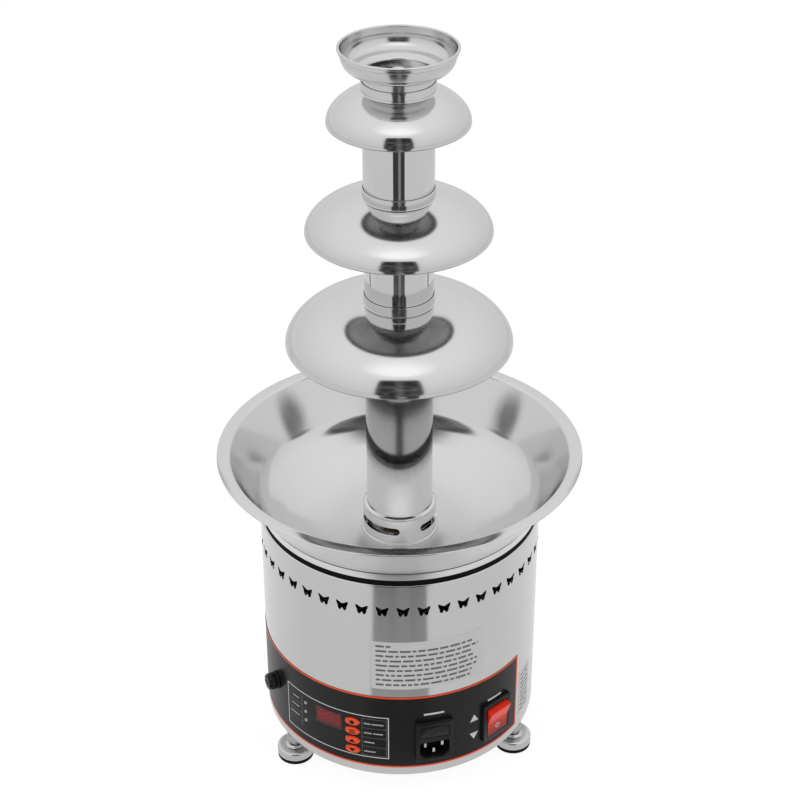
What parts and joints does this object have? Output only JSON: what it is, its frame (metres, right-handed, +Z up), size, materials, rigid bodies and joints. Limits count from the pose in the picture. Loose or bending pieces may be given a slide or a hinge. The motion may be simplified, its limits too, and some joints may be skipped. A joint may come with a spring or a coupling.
{
  "type": "chocolate fountain",
  "caption": "Table-top chocolate fountain: steel drum base with control panel, wide bowl, auger, and a lift-off tower of domes with a cup on top.",
  "frame": {"origin": "on the table, under the tower axis", "axes": "+Z up along the tower axis; the control panel faces -Y; +X to the right seen from the front"},
  "size_m": [0.2884, 0.2884, 0.6],
  "materials": {
    "polished_steel": "mirror polished stainless sheet",
    "satin_steel": "satin stainless",
    "black_rubber": "matt moulded rubber",
    "bronze": "turned",
    "cast_aluminium": "as cast",
    "painted_motor": "satin paint",
    "board_green": "solder mask",
    "black_plastic": "fine moulded grain",
    "film_black": "satin film",
    "window_red": "tinted clear",
    "button_orange": "gloss",
    "rocker_red": "translucent gloss",
    "light_white": "clear",
    "sticker_grey": "printed paper film",
    "plated_contact": "nickel plated",
    "fuse_glass": "clear",
    "ring_white": "smooth"
  },
  "bodies": {
    "base": {"casing": "polished_steel", "base_plate": "satin_steel", "base_screws": "satin_steel", "gasket": "black_rubber", "bowl_carrier": "polished_steel", "bowl_nuts": "satin_steel", "bowl": "polished_steel", "hub_collar": "polished_steel", "shaft_bush": "bronze", "shaft_seal": "black_rubber", "heater_ring": "cast_aluminium", "heat_sensor": "black_plastic", "bracket_posts": "satin_steel", "motor_bracket": "satin_steel", "bracket_screws": "satin_steel", "gearbox": "cast_aluminium", "gearbox_screws": "satin_steel", "motor": "painted_motor", "board_pillars": "satin_steel", "control_board": "board_green", "display_module": "black_plastic", "display_window": "window_red", "status_lights": "light_white", "panel_film": "film_black", "notice_sticker": "sticker_grey", "side_sticker": "sticker_grey", "power_inlet": "black_plastic", "inlet_blades": "plated_contact", "switch_frame": "black_plastic", "fuse_holder": "black_plastic", "fuse_holder_nut": "black_plastic", "foot_inserts": "satin_steel"},
    "drive": {"drive_shaft": "satin_steel"},
    "auger": {"auger_shaft": "polished_steel", "auger_flight": "polished_steel"},
    "tower_bearing": {"bearing_ring": "ring_white"},
    "tower": {"lower_tube": "polished_steel", "lower_dome": "polished_steel"},
    "middle_section": {"middle_tube": "polished_steel", "middle_dome": "polished_steel"},
    "upper_section": {"upper_tube": "polished_steel", "upper_dome": "polished_steel"},
    "top_cup": {"cup": "polished_steel"},
    "switch_rocker": {"rocker": "rocker_red"},
    "drawer": {"fuse_drawer": "black_plastic"},
    "fuse_carrier": {"fuse": "fuse_glass"},
    "fuse_lock": {"fuse_cap": "black_plastic"},
    "press_1": {"button_1": "button_orange"},
    "press_2": {"button_2": "button_orange"},
    "press_3": {"button_3": "button_orange"},
    "press_4": {"button_4": "button_orange"},
    "foot_1_lock": {"foot_1_nut": "satin_steel"},
    "foot_1": {"foot_1_cup": "satin_steel", "foot_1_pad": "black_rubber"},
    "foot_2_lock": {"foot_2_nut": "satin_steel"},
    "foot_2": {"foot_2_cup": "satin_steel", "foot_2_pad": "black_rubber"},
    "foot_3_lock": {"foot_3_nut": "satin_steel"},
    "foot_3": {"foot_3_cup": "satin_steel", "foot_3_pad": "black_rubber"}
  },
  "joints": [
    {"name": "drive_spin", "type": "hinge", "parent": "base", "child": "drive", "pos_m": [0, 0, 0.1924], "axis": [0, 0, 1], "continuous": true},
    {"name": "auger_lift", "type": "slide", "parent": "drive", "child": "auger", "axis": [0, 0, 1], "range_m": [0, 0.406]},
    {"name": "tower_twist", "type": "hinge", "parent": "base", "child": "tower_bearing", "pos_m": [0, 0, 0.1924], "axis": [0, 0, 1], "range_deg": [0, 30]},
    {"name": "tower_lift", "type": "slide", "parent": "tower_bearing", "child": "tower", "axis": [0, 0, 1], "range_m": [0, 0.395]},
    {"name": "middle_lift", "type": "slide", "parent": "tower", "child": "middle_section", "axis": [0, 0, 1], "range_m": [0, 0.208]},
    {"name": "upper_lift", "type": "slide", "parent": "middle_section", "child": "upper_section", "axis": [0, 0, 1], "range_m": [0, 0.12]},
    {"name": "cup_lift", "type": "slide", "parent": "upper_section", "child": "top_cup", "axis": [0, 0, 1], "range_m": [0, 0.038]},
    {"name": "switch_rock", "type": "hinge", "parent": "base", "child": "switch_rocker", "pos_m": [0.07523, -0.08011, 0.0599], "axis": [-0.729, -0.6845, 0], "range_deg": [0, 20]},
    {"name": "drawer_pull", "type": "slide", "parent": "base", "child": "drawer", "axis": [0.2385, -0.9711, 0], "range_m": [0, 0.02]},
    {"name": "fuse_pull", "type": "slide", "parent": "base", "child": "fuse_carrier", "axis": [-0.8988, -0.4384, 0], "range_m": [0, 0.028]},
    {"name": "fuse_cap_turn", "type": "hinge", "parent": "fuse_carrier", "child": "fuse_lock", "pos_m": [-0.10067, -0.0491, 0.0715], "axis": [-0.8988, -0.4384, 0], "range_deg": [0, 90]},
    {"name": "button_1_press", "type": "slide", "parent": "base", "child": "press_1", "axis": [0.3387, 0.9409, 0], "range_m": [0, 0.0008], "stiffness_N_per_m": 600, "springref_m": -0.002},
    {"name": "button_2_press", "type": "slide", "parent": "base", "child": "press_2", "axis": [0.3387, 0.9409, 0], "range_m": [0, 0.0008], "stiffness_N_per_m": 600, "springref_m": -0.002},
    {"name": "button_3_press", "type": "slide", "parent": "base", "child": "press_3", "axis": [0.3387, 0.9409, 0], "range_m": [0, 0.0008], "stiffness_N_per_m": 600, "springref_m": -0.002},
    {"name": "button_4_press", "type": "slide", "parent": "base", "child": "press_4", "axis": [0.3387, 0.9409, 0], "range_m": [0, 0.0008], "stiffness_N_per_m": 600, "springref_m": -0.002},
    {"name": "foot_1_travel", "type": "slide", "parent": "base", "child": "foot_1_lock", "axis": [0, 0, -1], "range_m": [0, 0.0063]},
    {"name": "foot_1_turn", "type": "hinge", "parent": "foot_1_lock", "child": "foot_1", "pos_m": [-0.0874, -0.05873, 0], "axis": [0, 0, -1], "range_deg": [0, 1800]},
    {"name": "foot_2_travel", "type": "slide", "parent": "base", "child": "foot_2_lock", "axis": [0, 0, -1], "range_m": [0, 0.0063]},
    {"name": "foot_2_turn", "type": "hinge", "parent": "foot_2_lock", "child": "foot_2", "pos_m": [0.09456, -0.04633, 0], "axis": [0, 0, -1], "range_deg": [0, 1800]},
    {"name": "foot_3_travel", "type": "slide", "parent": "base", "child": "foot_3_lock", "axis": [0, 0, -1], "range_m": [0, 0.0063]},
    {"name": "foot_3_turn", "type": "hinge", "parent": "foot_3_lock", "child": "foot_3", "pos_m": [-0.00716, 0.10506, 0], "axis": [0, 0, -1], "range_deg": [0, 1800]}
  ],
  "couplings": [
    {"joint": "foot_1_travel", "follows": "foot_1_turn", "m_per_rad": 0.00019894},
    {"joint": "foot_2_travel", "follows": "foot_2_turn", "m_per_rad": 0.00019894},
    {"joint": "foot_3_travel", "follows": "foot_3_turn", "m_per_rad": 0.00019894}
  ]
}
